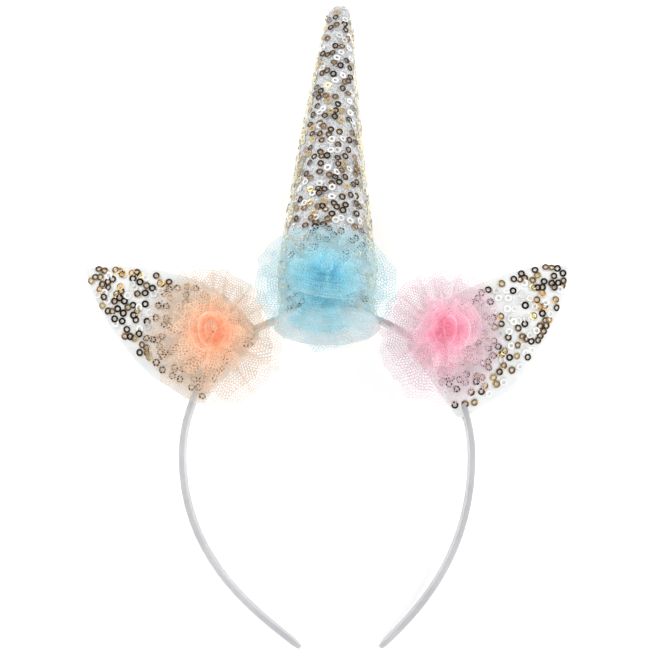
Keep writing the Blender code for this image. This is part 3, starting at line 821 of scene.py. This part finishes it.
def net_on(surface, strip, closed):
    """The net's threads on a surface: a small triangle for each knot and a quad for each thread."""
    width, length = strip
    row_step = NET_PITCH * math.sqrt(3) / 2
    across = 2 * max(2, round(length / NET_PITCH))
    down = max(3, int(width / row_step))
    i, j = (part.ravel() for part in np.meshgrid(np.arange(across), np.arange(down), indexing="ij"))
    high = (i + j) % 2 == 1
    s = (i + 0.5) / across
    t = (j + 0.28 + high / 3) / down
    here = surface(s, t)
    step = 1e-3
    edges = []
    for ds, dt in ((step, 0.0), (0.0, step)):
        edge = surface(s + ds, t + dt) - surface(s - ds, t - dt)
        edges.append(edge / np.maximum(np.linalg.norm(edge, axis=1, keepdims=True), 1e-12))
    turn = np.radians((90.0, 210.0, 330.0))
    half = np.where(high, -1.0, 1.0)[:, None] * THREAD / math.sqrt(3)
    corners = [here + half * (np.cos(a) * edges[0] + np.sin(a) * edges[1]) for a in turn]
    points = np.stack(corners, 1).reshape(-1, 3)

    knot = np.arange(across * down).reshape(across, down)
    upper = high.reshape(across, down)
    after = np.roll(knot, -1, axis=0)
    if not closed:
        knot, after, upper = knot[:-1], after[:-1], upper[:-1]
    low_from, low_to = knot[~upper], after[~upper]
    high_from, high_to = knot[upper], after[upper]
    whole = np.arange(across * down).reshape(across, down)
    rising = high.reshape(across, down)[:, :-1]
    foot, top = whole[:, :-1][rising], whole[:, 1:][rising]
    quads = np.concatenate([
        np.stack([3 * low_from + 2, 3 * low_to, 3 * low_to + 2, 3 * low_from], -1),
        np.stack([3 * high_from, 3 * high_to + 1, 3 * high_to, 3 * high_from + 1], -1),
        np.stack([3 * foot + 2, 3 * foot + 1, 3 * top + 2, 3 * top + 1], -1),
    ])
    knots = np.arange(len(points)).reshape(-1, 3)
    return points, knots, quads, np.repeat(t, 3)


def veil_on(surface, strip, closed):
    """A fine grid on a surface."""
    width, length = strip
    rows = max(10, round(length / VEIL_ROW))
    columns = max(8, round(width / VEIL_COLUMN))
    along = np.arange(rows) / (rows if closed else rows - 1)
    s, t = np.meshgrid(along, np.linspace(0, 1, columns), indexing="ij")
    points = surface(s.ravel(), t.ravel())
    quads = grid_faces(rows + 1, columns, False) if closed else grid_faces(rows, columns, False)
    return points, quads % len(points), t.ravel()


def sheet_area(points, quads):
    a, b, c, d = (points[quads[:, k]] for k in range(4))
    return 0.5 * np.linalg.norm(np.cross(c - a, d - b), axis=1).sum()


def strip_edge(surface, strip, loop):
    """The narrow stretch where a loop's net lies double, or where a roll's edge is turned over."""
    half = FOLD_WIDTH / strip[0] / 2
    middle = 0.5 if loop else 1.0 - half

    def edge(s, t):
        return surface(s, middle + half * (2 * t - 1))

    return edge, (FOLD_WIDTH, strip[1]), False


class Joined:
    """Meshes joined into one: points, faces and each point's depth in the rosette."""

    def __init__(self):
        self.points, self.faces, self.depth = [], [], []
        self.count = 0

    def add(self, points, groups, depth):
        self.points.append(points)
        self.faces += [face for group in groups for face in (group + self.count).tolist()]
        self.depth.append(depth)
        self.count += len(points)

    def piece(self, name, place, material):
        made = add_mesh(name, in_frame(place, np.concatenate(self.points)), self.faces, material)
        layer = made.data.attributes.new("depth", "FLOAT", "POINT")
        layer.data.foreach_set("value", np.concatenate(self.depth).astype(np.float32))
        return made


def add_rosette(name, place):
    tulle = TULLE[name]
    net, veil, folds = Joined(), Joined(), Joined()

    def lay(surface, strip, closed, depth):
        points, knots, quads, t = net_on(surface, strip, closed)
        net.add(points, (knots, quads), depth(t))
        points, quads, t = veil_on(surface, strip, closed)
        veil.add(points, (quads,), depth(t))
        return sheet_area(points, quads)

    area = 0.0
    for k, ring in enumerate(RINGS):
        made = ring_surface(name, ring, tulle["seed"] + 20 * k)
        area += lay(*made, lambda t: ring["depth"] * (1 - RING_FADE * t))
    for loop in tulle["loops"]:
        made = loop_surface(loop)
        area += lay(*made, lambda t: tulle["deep"] * (1 - LOOP_FADE * np.sin(np.pi * t)))
        points, quads, t = veil_on(*strip_edge(*made[:2], True))
        folds.add(points, (quads,), 0.0 * t)
    for roll in tulle["rolls"]:
        made = roll_surface(roll)
        area += lay(*made, lambda t: ROLL_DEPTH - ROLL_FADE * t)
        points, quads, t = veil_on(*strip_edge(*made[:2], False))
        folds.add(points, (quads,), 0.0 * t)

    # the fold strips' net lies double, and their paler fold colour is a painted highlight
    tones, pale = [tulle[key] for key in ("rim", "middle", "heart")], [tulle["fold"]] * 3
    net_piece = net.piece(f"{name}_tulle_net", place, tulle_material(f"{name}_thread", tones, 1.0))
    veil_piece = veil.piece(f"{name}_tulle_veil", place, tulle_material(f"{name}_veil", tones, VEIL_ALPHA))
    fold_highlight_piece = folds.piece(f"{name}_tulle_folds", place, tulle_material(f"{name}_fold", pale, FOLD_ALPHA))
    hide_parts(f"{name}_rosette")


def polar(radius, degrees, side):
    angle = math.radians(degrees)
    return Vector((side * radius * math.cos(angle), radius * math.sin(angle), 0.0))


SIDE_ROSETTES = {  # ear, perch in degrees, out past the band, tip in degrees
    "peach": ("left", 47.2, 0.00745, 4.0),
    "pink": ("right", 46.3, 0.00939, 4.0),
}


def add_rosettes():
    for name, (ear, perch, out, tip) in SIDE_ROSETTES.items():
        side = EARS[ear][0]
        spot = polar(BAND_RADIUS + out, perch, side)
        spot.z = EAR_THICKNESS / 2 + GAP
        place = HEAD @ Matrix.Translation(spot) @ Matrix.Rotation(math.radians(tip) * side, 4, "Y")
        add_rosette(name, place)
    nod = math.radians(BLUE_NOD)
    under = np.interp(BLUE_RISE / HORN_LENGTH, HORN_PROFILE[:, 0], HORN_PROFILE[:, 1]) * HORN_RADIUS
    spot = Vector((BLUE_SHIFT * ROSETTE_RADIUS, BLUE_RISE, under + GAP + ROSETTE_HUB * math.sin(nod)))
    add_rosette("blue", SEAT @ Matrix.Translation(spot) @ Matrix.Rotation(-nod, 4, "X"))


def tulle_material(name, tones, alpha):
    """Tulle thread, or the sheer veil between the threads, deeper in colour towards the heart. It glows
    faintly in that colour: painted light for the light that would pass through the net.
    """
    # painted light: a faint glow in the tulle's own colour
    paint = Paint(name).set(Alpha=alpha, Specular_IOR_Level=0.25, Emission_Strength=0.12)
    depth = paint.nodes.new("ShaderNodeAttribute")
    depth.attribute_name = "depth"
    where = paint.coordinates()
    uneven = paint.math("MULTIPLY", paint.math("SUBTRACT", paint.noise(where, 260.0, 3.0), 0.5), 0.45)
    fine = paint.math("MULTIPLY", paint.math("SUBTRACT", paint.noise(where, 900.0, 2.0), 0.5), 0.70)
    shade = paint.math("ADD", depth.outputs["Fac"], paint.math("ADD", uneven, fine))
    tone = paint.ramp(shade, list(zip((0.05, 0.35, 0.85), tones)))
    paint.link(tone, paint.shader.inputs["Base Color"])
    paint.link(tone, paint.shader.inputs["Emission Color"])
    thread = paint.noise(where, 3000.0, 2.0)
    paint.link(paint.ramp(thread, [(0.3, grey(0.50)), (0.7, grey(0.70))]), paint.shader.inputs["Roughness"])
    paint.bump(thread, 0.3, 0.00003)
    return paint.material


def dress_cad_nodes():
    for node, material in (("band", satin_material()), ("horn_base_felt", felt_material())):
        for slot in bpy.data.objects[node].material_slots:
            slot.material = material


add_camera()
add_studio()
dress_cad_nodes()
clearance = band_cutter()
sequin_finishes = {
    "gold": sequin_material("gold_sequin", 0.95),
    # pale: white sequins, partly pearl-white and partly a painted glare of the lights
    "pale": sequin_material("pearl_and_glare_sequin", 0.0),
}
add_horn(clearance, sequin_finishes)
add_ears(clearance, sequin_finishes)
bpy.data.objects.remove(clearance)
add_rosettes()
